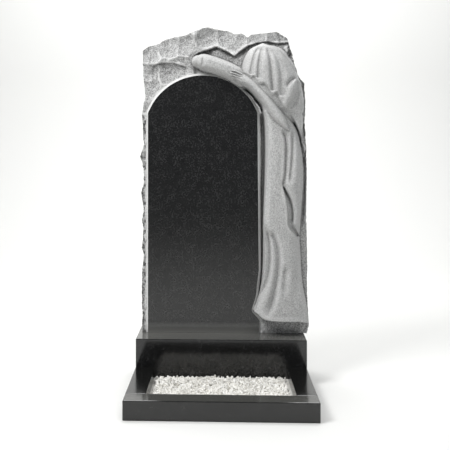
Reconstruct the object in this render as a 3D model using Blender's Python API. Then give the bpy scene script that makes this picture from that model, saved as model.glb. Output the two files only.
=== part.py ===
"""Headstone: one granite stone with a veiled mourner in high relief, a plinth and a bed of marble chips."""
import bpy
import bmesh
import numpy as np

# Sizes in metres. +Z is up, the carved side faces -Y, the middle of the plinth's underside is the origin.
PLINTH_W = 0.600
PLINTH_D = 0.200
PLINTH_H = 0.160
SETBACK = 0.095       # from the plinth's front back to the polished face
STONE_W = 0.608
STONE_H = 1.109
SLAB_T = 0.080        # from the polished face to the sawn back
FIGURE_PROUD = 0.086  # from the polished face out to the veil
BAR_W = 0.066
BAR_H = 0.062
BED_D = 0.348         # from the plinth's front to the bed's front
GRAVEL_H = 0.033
JOINT = 0.0003        # between pieces that touch

# Facets of the stone, and the grid that it is carved on before it is thinned to them.
FACETS = 8300
GRID_ACROSS = 260
GRID_UP = 470
SIDE_PARTS = 6

# The carving is drawn on a sheet in millimetres: x from the plinth's middle, z from the stone's foot,
# heights and depths from the polished face.
SHEET_W = 608
SHEET_H = 1109
SHEET_PROUD = 86

# Outline of the broken stone, and how far its sides are bitten away between front and back.
TOP = [(-282, 1025), (-265, 1040), (-226, 1051), (-173, 1073), (-101, 1092), (-44, 1109), (-22, 1102),
       (29, 1095), (49, 1084), (77, 1085), (97, 1073), (110, 1083), (166, 1088), (202, 1093), (240, 1069)]
LEFT = [(-286, 0), (-284, 790), (-275, 849), (-277, 920), (-282, 1025)]
RIGHT = [(309, 0), (318, 30), (313, 300), (313, 626), (304, 849), (301, 905), (266, 977), (240, 1069)]
SIDE_BITE = 7
FOOT_SPARE = 20       # sawn off below the foot

# Polished face: straight sides under an arch, the right edge bent round the skirt.
PANEL_LEFT = -266
PANEL_SPRING = 798
PANEL_CROWN = 935
PANEL_RIGHT = [(135, 0), (140, 46), (113, 77), (112, 88), (126, 132), (137, 230), (136, 306),
               (132, PANEL_SPRING)]
CHAMFER = 9
CHAMFER_DROP = 12
PANEL_ROOT = 45
ARCH_PARTS = 32

# Broken rock round the arch: middle, depth and radius of each hollow flake, and two ledges.
FLAKES = [(-273, 946, 7, 60), (-254, 1008, 4, 90), (-211, 1051, 4, 80), (-182, 1033, 9, 95),
          (-124, 1026, 4, 100), (-91, 1018, 5, 100), (-69, 1069, 3, 90), (-18, 1080, 5, 60),
          (15, 1069, 9, 70), (62, 1048, 2, 100), (113, 1062, 4, 70), (149, 1073, 3, 60),
          (185, 1073, 5, 60), (222, 1066, 3, 60), (-247, 942, 9, 80), (-193, 953, 13, 80),
          (-138, 953, 10, 100), (-254, 888, 12, 75), (-218, 902, 12, 80), (-265, 837, 13, 80)]
ROCK_TOP = 12
LEDGE = [(-258, 971), (-220, 984), (-173, 984), (-120, 968)]
LEDGE_DROP = 8
POCKET = [(-102, 1008), (-84, 1022), (-16, 1041), (49, 1009), (103, 1048), (134, 1059), (196, 1057),
          (258, 1054)]
POCKET_DROP = 22
STRIP_DEPTH = 16      # rock beside the straight edges
GROOVE_DEPTH = 38     # sunk ground along the figure's flank

# Arms, as rows of x, z, half width and height.
RIGHT_ARM = [(-84, 986, 22, 40), (-64, 983, 30, 50), (-20, 970, 30, 52), (34, 948, 30, 52), (75, 923, 30, 46)]
LEFT_ARM = [(43, 939, 14, 60), (53, 931, 18, 68), (83, 914, 20, 74), (115, 893, 19, 76), (161, 842, 21, 80),
            (195, 794, 25, 78), (214, 769, 22, 74), (228, 750, 14, 68), (240, 735, 3, 60)]
CUFF = [(-62, 1003), (-66, 983), (-69, 958)]
FINGERS = [[(40, 945), (53, 940), (66, 935)],
           [(38, 937), (55, 931), (71, 924)],
           [(40, 928), (55, 922), (71, 914)]]
ARM_GAP = [(94, 884, 6), (112, 871, 8), (144, 828, 8), (152, 807, 6)]
ARM_GAP_DEPTH = 30

# Bowed head under the veil: middle, half axes, folds as points with width and depth, and the zigzag hem.
HEAD_X, HEAD_Z = 167, 930
HEAD_HALF_W, HEAD_HALF_H = 100, 122
CROWN_X, CROWN_Z = 152, 1040
VEIL_FOLDS = [([(147, 1037), (127, 1019), (111, 970), (105, 942)], 6, 7),
              ([(152, 1037), (143, 1016), (132, 963), (130, 931)], 8, 9),
              ([(159, 1036), (174, 987), (177, 916), (178, 885)], 7, 8),
              ([(170, 1034), (191, 1005), (213, 942), (207, 867)], 11, 8)]
VEIL_HEM = [(53, 950), (75, 948), (105, 944), (112, 934), (124, 935), (143, 910), (163, 906), (179, 884),
            (194, 864), (203, 873), (211, 849), (234, 797)]
UNDER_VEIL = 50
SHOULDER = [(175, 963, 80, 46), (211, 913, 76, 50), (240, 855, 62, 50), (265, 795, 36, 44), (288, 698, 5, 16)]
SHOULDER_LINE = [(222, 816), (240, 790), (261, 761), (287, 698), (294, 662)]
KNOT = [(267, 908, 9), (257, 886, 18), (245, 861, 19), (228, 828, 9)]
KNOT_PROUD = 12
KNOT_LINES = [[(230, 876), (237, 893), (251, 909), (268, 918)],
              [(282, 898), (278, 876), (269, 856), (254, 835)]]

# Robe: foot of its left flank, its front edge, its line at the back, its hem and the block below.
FLANK = [(110, 73), (114, 84), (130, 117), (146, 190), (151, 335), (157, 620), (151, 808), (124, 862)]
FRONT = [(111, 84), (133, 127), (151, 195), (158, 270), (158, 341), (154, 420), (168, 616), (172, 700),
         (166, 769), (148, 819), (132, 876)]
BACK = [(316, 15), (311, 87), (293, 188), (287, 303), (285, 353), (294, 486), (299, 575), (291, 665),
        (272, 743), (230, 806)]
HEM = [(96, 105), (110, 94), (129, 80), (156, 61), (209, 55), (268, 55), (292, 49), (323, 42)]
ROBE_TOP = 860
CHEST_PROUD = 52
SKIRT_FLARE = 20
BLOCK_LEFT = 139
BLOCK_DEPTH = 12

# Folds: points, width, depth, lean of the steep side, share of the length that each end takes to fade.
FOLDS = [([(160, 406), (173, 330), (174, 259), (161, 188), (131, 126), (115, 97)], 8, 14, -0.4, 0.15, 0.12),
         ([(174, 385), (201, 314), (204, 241), (195, 175), (180, 115), (162, 65)], 10, 15, -0.4, 0.12, 0.15),
         ([(232, 257), (227, 204), (222, 129)], 11, 8, -0.3, 0.25, 0.4),
         ([(263, 243), (261, 183), (258, 87)], 18, 4, -0.2, 0.3, 0.3),
         ([(179, 698), (183, 644), (174, 520)], 11, 3, 0.0, 0.3, 0.3),
         ([(215, 691), (210, 563), (213, 442)], 10, 4, 0.0, 0.3, 0.4),
         ([(214, 737), (231, 694), (228, 577), (222, 537), (246, 486), (256, 441), (254, 398)],
          8, 14, 0.4, 0.08, 0.05),
         ([(255, 741), (254, 651), (245, 539)], 7, 11, 0.2, 0.15, 0.12)]
HOLLOW = [(224, 530, 3), (243, 477, 12), (248, 430, 12), (250, 395, 12), (275, 357, 6)]
HOLLOW_DEPTH = 18

OUTSIDE = -100        # height given where a part of the carving isn't


def step(share):
    """Soft step from 0 to 1."""
    share = np.clip(share, 0, 1)
    return share * share * (3 - 2 * share)


def blend(a, b, width):
    """Larger of two heights, with a rounded joint."""
    share = np.clip(0.5 + 0.5 * (a - b) / width, 0, 1)
    return b + (a - b) * share + width * share * (1 - share)


def curve(points, parts=4):
    """Smooth line through rows of numbers."""
    rows = np.array(points, float)
    rows = np.vstack([2 * rows[0] - rows[1], rows, 2 * rows[-1] - rows[-2]])
    t = np.linspace(0, 1, parts, endpoint=False)[:, None]
    out = []
    for a, b, c, d in zip(rows[:-3], rows[1:-2], rows[2:-1], rows[3:]):
        bend = (2 * a - 5 * b + 4 * c - d) * t**2
        twist = (3 * b - a - 3 * c + d) * t**3
        out.append(0.5 * (2 * b + (c - a) * t + bend + twist))
    out.append(rows[-2][None])
    return np.vstack(out)


def follow(x, z, points):
    """Distance to a line, its sign by side, the share along it and the line's further columns."""
    line = curve(points)
    near = np.full(x.shape, 1e9)
    side = np.ones(x.shape)
    along = np.zeros(x.shape)
    more = [np.zeros(x.shape) for _ in range(line.shape[1] - 2)]
    lengths = np.hypot(*np.diff(line[:, :2], axis=0).T)
    done = 0
    for a, b, length in zip(line[:-1], line[1:], lengths):
        dx, dz = (b[:2] - a[:2]) / length
        t = np.clip(((x - a[0]) * dx + (z - a[1]) * dz) / length, 0, 1)
        d = np.hypot(x - a[0] - t * length * dx, z - a[1] - t * length * dz)
        here = d < near
        near = np.where(here, d, near)
        side = np.where(here, np.sign((x - a[0]) * dz - (z - a[1]) * dx), side)
        along = np.where(here, (done + t * length) / lengths.sum(), along)
        more = [np.where(here, a[2 + i] + t * (b[2 + i] - a[2 + i]), m) for i, m in enumerate(more)]
        done += length
    return near, side, along, more


def height_at(x, points, smooth=True):
    """Height of a line that runs from left to right."""
    line = curve(points) if smooth else np.array(points, float)
    return np.interp(x, np.maximum.accumulate(line[:, 0]), line[:, 1])


def place_at(z, points, smooth=True):
    """Place across of a line that runs upwards."""
    line = curve(points) if smooth else np.array(points, float)
    return np.interp(z, np.maximum.accumulate(line[:, 1]), line[:, 0])


def crease(x, z, points, width, depth, lean=0.0, start=0.1, end=0.15):
    """A valley along a line, steeper on one side as lean goes to -1 or 1, fading at both ends."""
    near, side, along, _ = follow(x, z, points)
    reach = width * np.where(side < 0, 1 + lean, 1 - lean)
    fade = step(along / start) * step((1 - along) / end)
    return -depth * fade * np.exp(-(near / reach) ** 1.5)


def limb(x, z, points, power=2.6, shape=0.5):
    """A rounded length of arm or cloth."""
    near, _, _, (half, height) = follow(x, z, points)
    share = near / half
    return np.where(share < 1, height * np.clip(1 - share**power, 0, 1) ** shape, OUTSIDE)


def swell(x, z, points, power=2.0, shape=1.0):
    """1 on the middle of a line that has a half width, 0 outside it."""
    near, _, _, (half,) = follow(x, z, points)
    return np.clip(1 - (near / half) ** power, 0, 1) ** shape


def shelf(x, z, points, reach):
    """1 just under a line from left to right, fading with the distance below it."""
    below = height_at(x, points) - z
    ends = step((x - points[0][0]) / 12) * step((points[-1][0] - x) / 12)
    return ends * step(below / 6) * np.exp(-np.maximum(below, 0) / reach)


def arch():
    """Middle and radius of the arch over the polished face."""
    half = (PANEL_RIGHT[-1][0] - PANEL_LEFT) / 2
    rise = PANEL_CROWN - PANEL_SPRING
    radius = (half**2 + rise**2) / (2 * rise)
    return PANEL_LEFT + half, PANEL_CROWN - radius, radius


def outside_panel(x, z):
    """Distance outside the edge of the polished face, negative inside."""
    middle, centre, radius = arch()
    sides = np.maximum(PANEL_LEFT - x, x - place_at(z, PANEL_RIGHT, False))
    over = np.hypot(x - middle, z - centre) - radius
    return np.where(z > PANEL_SPRING, np.maximum(sides, over), sides)


def rock(x, z):
    """Broken ground round the polished face and the figure."""
    h = np.full(x.shape, float(ROCK_TOP))
    for flake_x, flake_z, deep, radius in FLAKES:
        h = np.minimum(h, ((x - flake_x) ** 2 + (z - flake_z) ** 2) / (2 * radius) - deep)
    h -= LEDGE_DROP * shelf(x, z, LEDGE, 60)
    h -= POCKET_DROP * shelf(x, z, POCKET, 110)
    strip = step((PANEL_SPRING + 20 - z) / 40)
    h = h * (1 - strip) - STRIP_DEPTH * strip
    beside = step((x - place_at(z, FLANK) + 16) / 12) * step((place_at(z, BACK) - x) / 10)
    h -= (GROOVE_DEPTH - STRIP_DEPTH) * strip * beside
    away = outside_panel(x, z)
    h = np.minimum(h, 0.4 * (away - CHAMFER) - CHAMFER_DROP + 1)
    under_panel = -CHAMFER_DROP - 5 - 8 * step(-away / 4)
    return np.where(away < CHAMFER - 1, under_panel, h)


def robe(x, z):
    """Standing figure from the elbow to the hem, with the rough block under it."""
    flank, front, back = place_at(z, FLANK), place_at(z, FRONT), place_at(z, BACK)
    rise = step((x - flank) / np.maximum(front - flank, 1)) ** 0.7
    across = np.clip((x - front) / (back - front), 0, 1)
    flare = step((350 - z) / 300)
    crown = (CHEST_PROUD + SKIRT_FLARE * flare) * (0.8 + 0.2 * np.sin(np.pi * across**0.9))
    rounding = np.sqrt(1 - np.clip((across - 0.62) / 0.38, 0, 1) ** 2.4)
    kept = 0.35 + 0.35 * flare
    h = (crown + GROOVE_DEPTH) * rise * (kept + (1 - kept) * rounding) - GROOVE_DEPTH
    for points, width, depth, lean, start, end in FOLDS:
        h += crease(x, z, points, width, depth, lean, start, end)
    h -= HOLLOW_DEPTH * swell(x, z, HOLLOW, 2.0, 0.8)
    hem = height_at(x, HEM)
    block = -BLOCK_DEPTH - 0.12 * (hem - z)
    lifted = step((z - hem) / 6 + 0.5)
    h = block * (1 - lifted) + h * lifted
    inside = (x > flank) & (x < back) & (z < ROBE_TOP) & (z > hem - 6)
    return np.where((x > BLOCK_LEFT) & (z < hem), block, np.where(inside, h, OUTSIDE))


def head(x, z):
    """Bowed head under its veil, down to the zigzag of the hem."""
    across = (x - HEAD_X) / HEAD_HALF_W
    up = (z - HEAD_Z) / HEAD_HALF_H
    ring = np.hypot(across, np.where(up > 0, up, 0.55 * up))
    h = SHEET_PROUD * np.sqrt(np.clip(1 - ring**2.2, 0, 1))
    for points, width, depth in VEIL_FOLDS:
        h += crease(x, z, points, width, depth, 0.0, 0.15, 0.1)
    near, _, _, _ = follow(x, z, VEIL_HEM)
    above = np.where(z > height_at(x, VEIL_HEM), near, -near)
    kept = np.maximum(step(above / 5 + 0.4), step((x - 222) / 22))
    h = np.minimum(h, UNDER_VEIL) * (1 - kept) + h * kept
    return np.where((ring < 1) & (z > height_at(x, LEFT_ARM)), h, OUTSIDE)


def shoulder(x, z):
    """Cloth over the shoulder, behind the line down the back."""
    line = curve(SHOULDER_LINE)
    edge = np.interp(-z, -line[:, 1], line[:, 0], left=-SHEET_W, right=SHEET_W)
    shown = step((x - edge) / 8)
    return limb(x, z, SHOULDER, 2.2) * shown - GROOVE_DEPTH * (1 - shown)


def knot(x, z):
    """Gathered cloth on the shoulder with a line on either side."""
    h = KNOT_PROUD * swell(x, z, KNOT, 2.4, 0.6)
    for points in KNOT_LINES:
        h += crease(x, z, points, 6, 9, 0.3, 0.3, 0.25)
    return h


def relief(x, z):
    """Height of the carved front before the polished face, in millimetres."""
    h = rock(x, z)
    body = robe(x, z)
    h = np.where(body > OUTSIDE, blend(h, body, 2), h)
    h = np.maximum(h, shoulder(x, z))
    veil = head(x, z)
    h = np.where(veil > OUTSIDE, blend(h, veil, 4), h)
    h += knot(x, z)
    h = np.maximum(h, limb(x, z, RIGHT_ARM))
    h += crease(x, z, CUFF, 6, 5, 0.5, 0.3, 0.3)
    h -= ARM_GAP_DEPTH * swell(x, z, ARM_GAP)
    arm = limb(x, z, LEFT_ARM, 2.6, 0.45)
    for points in FINGERS:
        arm += crease(x, z, points, 3, 6, 0.0, 0.15, 0.4)
    return np.maximum(h, arm)


def outline(across, up):
    """Places on the sheet for shares across and up the stone, from the spare length below its foot."""
    x = PANEL_LEFT + SHEET_W * across
    for _ in range(12):
        z = up * (height_at(x, TOP, False) + FOOT_SPARE) - FOOT_SPARE
        left = place_at(z, LEFT, False)
        x = left + across * (place_at(z, RIGHT, False) - left)
    return x, z


def to_part(x, y, z):
    """Sheet to the part's own frame, in metres."""
    face = SETBACK - PLINTH_D / 2
    foot = PLINTH_H + JOINT
    return np.stack([x * STONE_W / SHEET_W, face + y, foot + z * STONE_H / SHEET_H], axis=-1)


def slab_mesh(name):
    """Grid pushed back into a block of 1 by 1 by 1, with its sides cut across."""
    bm = bmesh.new()
    bmesh.ops.create_grid(bm, x_segments=GRID_ACROSS, y_segments=GRID_UP, size=0.5)
    bmesh.ops.translate(bm, verts=bm.verts, vec=(0.5, 0.5, 0))
    pushed = bmesh.ops.extrude_face_region(bm, geom=bm.faces[:], use_keep_orig=True)["geom"]
    bmesh.ops.translate(bm, verts=[v for v in pushed if isinstance(v, bmesh.types.BMVert)], vec=(0, 0, 1))
    sides = [e for e in bm.edges if abs(e.verts[0].co.z - e.verts[1].co.z) > 0.5]
    bmesh.ops.subdivide_edges(bm, edges=sides, cuts=SIDE_PARTS - 1)
    bmesh.ops.recalc_face_normals(bm, faces=bm.faces)
    mesh = bpy.data.meshes.new(name)
    bm.to_mesh(mesh)
    bm.free()
    return mesh


def carve(mesh):
    """Move the block's points to the stone: carved front, bitten sides, sawn back and foot."""
    places = np.empty(3 * len(mesh.vertices))
    mesh.vertices.foreach_get("co", places)
    across, up, deep = places.reshape(-1, 3).T
    x, z = outline(across, up)
    carved = deep < 0.99
    front = np.zeros(len(x))
    front[carved] = -relief(x[carved], z[carved]) * FIGURE_PROUD / SHEET_PROUD
    y = front * (1 - deep) + SLAB_T * deep
    wave = np.sin(x / 11 + 9 * deep) * np.sin(z / 13 + 5 * deep)
    bite = SIDE_BITE * np.sin(np.pi * deep) * (0.6 + 0.4 * wave)
    x = x + bite * (across < 0.001) - bite * (across > 0.999)
    z = z - bite * (up > 0.999)
    mesh.vertices.foreach_set("co", to_part(x, y, z).ravel())
    mesh.update()


def panel_edge(away):
    """Edge of the polished face moved outwards, anticlockwise from the foot's left end."""
    middle, centre, radius = arch()
    half = np.arcsin((middle - PANEL_LEFT) / radius)
    turns = np.linspace(half, -half, ARCH_PARTS + 1)[1:-1]
    crown = [(middle + radius * np.sin(a), centre + radius * np.cos(a)) for a in turns]
    foot = [(PANEL_LEFT, -2 * FOOT_SPARE), (PANEL_RIGHT[0][0], -2 * FOOT_SPARE)]
    edge = np.array(foot + PANEL_RIGHT[1:] + crown + [(PANEL_LEFT, PANEL_SPRING)], float)
    ahead = np.roll(edge, -1, axis=0) - edge
    ahead /= np.hypot(*ahead.T)[:, None]
    normal = np.stack([ahead[:, 1], -ahead[:, 0]], axis=-1)
    mitre = normal + np.roll(normal, 1, axis=0)
    return edge + 2 * away * mitre / np.maximum((mitre**2).sum(axis=1), 0.6)[:, None]


def clear_scene():
    for found in list(bpy.data.objects):
        bpy.data.objects.remove(found)


def new_collection(name):
    collection = bpy.data.collections.new(name)
    bpy.context.scene.collection.children.link(collection)
    return collection


def stone_material(name, colour, roughness):
    """Plain material for one piece."""
    made = bpy.data.materials.new(name)
    made.use_nodes = True
    shader = made.node_tree.nodes["Principled BSDF"]
    shader.inputs["Base Color"].default_value = (*colour, 1)
    shader.inputs["Roughness"].default_value = roughness
    return made


def add(name, mesh, collection, material):
    """Object of a mesh, in its collection."""
    made = bpy.data.objects.new(name, mesh)
    mesh.materials.append(material)
    collection.objects.link(made)
    return made


def block(name, low, high, collection, material):
    """Upright block between two corners."""
    low, high = np.array(low), np.array(high)
    bm = bmesh.new()
    bmesh.ops.create_cube(bm, size=1)
    bmesh.ops.scale(bm, verts=bm.verts, vec=high - low)
    mesh = bpy.data.meshes.new(name)
    bm.to_mesh(mesh)
    bm.free()
    made = add(name, mesh, collection, material)
    made.location = (low + high) / 2
    return made


def combine(piece, operation, other):
    """Boolean that keeps the other body as a hidden cutter."""
    made = piece.modifiers.new(other.name, "BOOLEAN")
    made.operation = operation
    made.solver = "EXACT"
    made.object = other
    other.display_type = "WIRE"
    other.hide_render = True


def polished_face(collection, material):
    """Polished face with its chamfer, reaching back into the stone."""
    bm = bmesh.new()
    front = panel_edge(0)
    face = bm.faces.new([bm.verts.new(p) for p in to_part(front[:, 0], 0 * front[:, 0], front[:, 1])])
    for away, deep in ((CHAMFER, CHAMFER_DROP), (CHAMFER, PANEL_ROOT)):
        inner = face if deep > CHAMFER_DROP else None
        pushed = bmesh.ops.extrude_face_region(bm, geom=[face], use_keep_orig=True)["geom"]
        face = next(item for item in pushed if isinstance(item, bmesh.types.BMFace))
        if inner:
            bmesh.ops.delete(bm, geom=[inner], context="FACES_ONLY")
        edge = panel_edge(away)
        depth = np.full(len(edge), deep * FIGURE_PROUD / SHEET_PROUD)
        for vert, place in zip(face.verts, to_part(edge[:, 0], depth, edge[:, 1])):
            vert.co = place
    bmesh.ops.recalc_face_normals(bm, faces=bm.faces)
    mesh = bpy.data.meshes.new("polished_face")
    bm.to_mesh(mesh)
    bm.free()
    return add("polished_face", mesh, collection, material)


def make_stone(part, cutters):
    """The stone, one solid: its carved body thinned to facets, joined with the polished face and sawn off."""
    grey = stone_material("carved granite", (0.42, 0.42, 0.41), 0.85)
    mesh = slab_mesh("stele")
    carve(mesh)
    stone = add("stele", mesh, part, grey)
    thin = stone.modifiers.new("facets", "DECIMATE")
    thin.ratio = FACETS / (2 * len(mesh.polygons))
    combine(stone, "UNION", polished_face(cutters, grey))
    foot = PLINTH_H + JOINT
    low, high = (-STONE_W, -STONE_W, foot - 4 * PLINTH_H), (STONE_W, STONE_W, foot)
    combine(stone, "DIFFERENCE", block("foot_cut", low, high, cutters, grey))


def make_plinth(part):
    dark = stone_material("polished plinth granite", (0.03, 0.03, 0.03), 0.12)
    block("plinth", (-PLINTH_W / 2, -PLINTH_D / 2, 0), (PLINTH_W / 2, PLINTH_D / 2, PLINTH_H), part, dark)


def make_bed(part):
    """Three bars before the plinth and the chips between them."""
    dark = stone_material("polished bar granite", (0.04, 0.04, 0.04), 0.15)
    white = stone_material("marble chips", (0.75, 0.74, 0.70), 0.7)
    outer = PLINTH_W / 2
    inner = outer - BAR_W
    rear = -PLINTH_D / 2 - JOINT
    front = -PLINTH_D / 2 - BED_D
    behind_bar = front + BAR_W + JOINT
    block("bar_front", (-outer, front, 0), (outer, front + BAR_W, BAR_H), part, dark)
    block("bar_left", (-outer, behind_bar, 0), (-inner, rear, BAR_H), part, dark)
    block("bar_right", (inner, behind_bar, 0), (outer, rear, BAR_H), part, dark)
    reach = inner - JOINT
    block("gravel_bed", (-reach, behind_bar, 0), (reach, rear, GRAVEL_H), part, white)


def build():
    clear_scene()
    part = new_collection("headstone")
    cutters = new_collection("cutters")
    make_stone(part, cutters)
    make_plinth(part)
    make_bed(part)


build()
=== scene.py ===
# %% [markdown]
# A granite headstone with a mourner in relief
#
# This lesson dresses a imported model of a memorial: one carved stone on a polished plinth, with a bed
# of marble chips in front.

# %% Load the frame
import math

import bmesh
import bpy
import numpy as np
from mathutils import Matrix, Vector


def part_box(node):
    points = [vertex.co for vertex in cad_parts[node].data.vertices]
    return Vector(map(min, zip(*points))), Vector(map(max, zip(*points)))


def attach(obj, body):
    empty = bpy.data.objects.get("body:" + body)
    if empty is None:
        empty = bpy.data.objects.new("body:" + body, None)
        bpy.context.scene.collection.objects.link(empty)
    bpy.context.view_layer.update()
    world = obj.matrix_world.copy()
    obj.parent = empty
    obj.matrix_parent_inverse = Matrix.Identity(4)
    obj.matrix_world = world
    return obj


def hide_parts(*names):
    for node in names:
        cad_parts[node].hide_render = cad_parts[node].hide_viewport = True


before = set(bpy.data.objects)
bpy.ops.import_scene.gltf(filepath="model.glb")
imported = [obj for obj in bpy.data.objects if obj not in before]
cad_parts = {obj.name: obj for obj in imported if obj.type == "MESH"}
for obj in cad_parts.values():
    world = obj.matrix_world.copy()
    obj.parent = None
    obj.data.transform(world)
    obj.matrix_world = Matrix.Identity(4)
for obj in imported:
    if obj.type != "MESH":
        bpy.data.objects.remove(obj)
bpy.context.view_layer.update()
print("nodes:", sorted(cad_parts))

# %% [markdown]
# Small helpers come first. Blender's operators act on whatever is selected, so everything is
# deselected before a new piece is begun, and a finished piece gets its place written into its mesh.


# %% Helpers for modelling
def begin():
    """Object mode with nothing selected."""
    if bpy.context.object and bpy.context.object.mode != "OBJECT":
        bpy.ops.object.mode_set(mode="OBJECT")
    bpy.ops.object.select_all(action="DESELECT")


def use(piece):
    """Make one piece the active, selected one."""
    begin()
    piece.select_set(True)
    bpy.context.view_layer.objects.active = piece


def apply_all(piece):
    """Apply every modifier, in order."""
    use(piece)
    for modifier in list(piece.modifiers):
        bpy.ops.object.modifier_apply(modifier=modifier.name)


def finish_piece(piece, slot, *nodes):
    """Write the piece's place into its mesh and let it stand for its CAD nodes."""
    use(piece)
    bpy.ops.object.transform_apply(location=True, rotation=True, scale=True)
    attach(piece, "root")
    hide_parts(*nodes)
    print(piece.name, len(piece.data.polygons), "faces")


# %% [markdown]
# The camera stands where the picture was taken from. Lines along the sides of the plinth and the bars
# meet at one point of the picture, well above its middle, while the uprights stay upright: a level
# camera whose picture is shifted, which Blender gives with a lens shift instead of a tilt.

# %% Camera
PICTURE = 450             # pixels across the picture
FOCAL_PIXELS = 727        # focal length in those pixels
HORIZON_ROW = 152
DEPTH_COLUMN = 221        # where lines along the stone's depth meet
CAMERA_HEIGHT = 0.817
CAMERA_Y = -2.647
TURN = math.radians(2.1)  # how far the camera is turned to the left of the stone's depth

eye = bpy.data.cameras.new("camera")
eye.sensor_width = 36
eye.lens = FOCAL_PIXELS / PICTURE * eye.sensor_width
axis_column = DEPTH_COLUMN - FOCAL_PIXELS * math.tan(TURN)
eye.shift_x = (PICTURE / 2 - axis_column) / PICTURE
eye.shift_y = (HORIZON_ROW - PICTURE / 2) / PICTURE
camera = bpy.data.objects.new("camera", eye)
bpy.context.scene.collection.objects.link(camera)
camera.location = (0, CAMERA_Y, CAMERA_HEIGHT)
camera.rotation_euler = (math.radians(90), 0, TURN)
bpy.context.scene.camera = camera
print("lens", round(eye.lens, 1), "shift", round(eye.shift_x, 3), round(eye.shift_y, 3))

# %% [markdown]
# Colours are written as hex values, as a picture shows them, and turned to linear light in one place.
# One function adds a node with its settings and its links, so that a material reads as a short list.


# %% Colours and nodes
def linear(code):
    """Colour from an sRGB hex value, in linear light."""
    parts = [int(code[n:n + 2], 16) / 255 for n in (1, 3, 5)]
    return tuple(p / 12.92 if p <= 0.04045 else ((p + 0.055) / 1.055) ** 2.4 for p in parts) + (1,)


def link(tree, source, socket):
    """Link an output, given as (node, output), to a socket."""
    tree.links.new(source[0].outputs[source[1]], socket)


def node(tree, kind, out=0, settings=None, stops=(), **sockets):
    """Add a node, set its properties, colour stops and sockets, and return it with one output.

    A socket is named with underscores for spaces, or with an underscore and its number. It takes a
    value, or a link from another node made here.
    """
    made = tree.nodes.new("ShaderNode" + kind)
    for name, value in (settings or {}).items():
        setattr(made, name, value)
    if stops:
        band = made.color_ramp
        while len(band.elements) < len(stops):
            band.elements.new(0.5)
        for element, (place, code) in zip(band.elements, stops):
            element.position = place
            element.color = linear(code)
    for name, value in sockets.items():
        socket = made.inputs[int(name[1:])] if name[1:].isdigit() else made.inputs[name.replace("_", " ")]
        if isinstance(value, tuple) and isinstance(value[0], bpy.types.Node):
            link(tree, value, socket)
        else:
            socket.default_value = value
    return made, out


def material(name, roughness, ior=1.5):
    """Material with only its shader, and the tree to build on."""
    made = bpy.data.materials.new(name)
    made.use_nodes = True
    shader = made.node_tree.nodes["Principled BSDF"]
    shader.inputs["Roughness"].default_value = roughness
    shader.inputs["IOR"].default_value = ior
    return made, made.node_tree, shader


# %% [markdown]
# The studio is a pale floor that runs up into a pale wall. Light falls softly from the upper left,
# so folds and broken edges show. The world stays dim: polished granite mirrors it, and a bright
# world would turn the black face grey.

# %% Studio
SHEET_SIDE = 9            # metres from the middle to the sheet's edge
FLOOR_END = 2.2
RISE_RADIUS = 1.5
WALL_TOP = 7


def studio_sheet():
    """Floor with a curved rise into the wall behind."""
    begin()
    bpy.ops.mesh.primitive_plane_add(size=1)
    sheet = bpy.context.object
    sheet.name = "studio_sheet"
    sheet.data.clear_geometry()
    bm = bmesh.new()
    profile = [(-SHEET_SIDE, 0), (FLOOR_END, 0)]
    for angle in np.linspace(0.1, math.pi / 2, 12):
        profile.append((FLOOR_END + RISE_RADIUS * math.sin(angle), RISE_RADIUS * (1 - math.cos(angle))))
    profile.append((FLOOR_END + RISE_RADIUS, WALL_TOP))
    left, right = ([bm.verts.new((x, y, z)) for y, z in profile] for x in (-SHEET_SIDE, SHEET_SIDE))
    for low in range(len(profile) - 1):
        bm.faces.new((left[low], right[low], right[low + 1], left[low + 1]))
    bm.to_mesh(sheet.data)
    bm.free()
    for face in sheet.data.polygons:
        face.use_smooth = True
    return sheet


paper, paper_tree, paper_shader = material("pale studio paper", 0.9)
paper_shader.inputs["Base Color"].default_value = linear("#e4e4e2")
paper_shader.inputs["Specular IOR Level"].default_value = 0.1
sheet = studio_sheet()
sheet.data.materials.append(paper)


def area_light(name, place, aim, size, power):
    """Square soft light that looks at a point."""
    lamp = bpy.data.lights.new(name, "AREA")
    lamp.size = size
    lamp.energy = power
    made = bpy.data.objects.new(name, lamp)
    bpy.context.scene.collection.objects.link(made)
    made.location = place
    made.rotation_euler = (Vector(place) - Vector(aim)).to_track_quat("Z", "Y").to_euler()


area_light("key", (-1.6, -1.3, 2.75), (0.05, 0, 0.9), 1.1, 68)
area_light("top", (0.7, -2.1, 3.2), (0, -0.4, 0.2), 2.2, 44)
area_light("wall", (0, 1.4, 4.6), (0, 3.7, 1.2), 3.0, 200)

world = bpy.context.scene.world or bpy.data.worlds.new("studio")
bpy.context.scene.world = world
world.use_nodes = True
world.node_tree.nodes["Background"].inputs["Color"].default_value = linear("#e9edf2")
world.node_tree.nodes["Background"].inputs["Strength"].default_value = 0.22
bpy.context.scene.view_settings.view_transform = "Standard"

# %% [markdown]
# The stone is carved the way a mason works from a drawing: every line of the figure is set out on a
# sheet, in millimetres, with x from the middle of the plinth and z from the stone's foot. A function
# of x and z then says how far the surface stands out from the polished face. Sculpting by hand would
# give one stone only; lines and widths can be changed and carved again.

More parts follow.
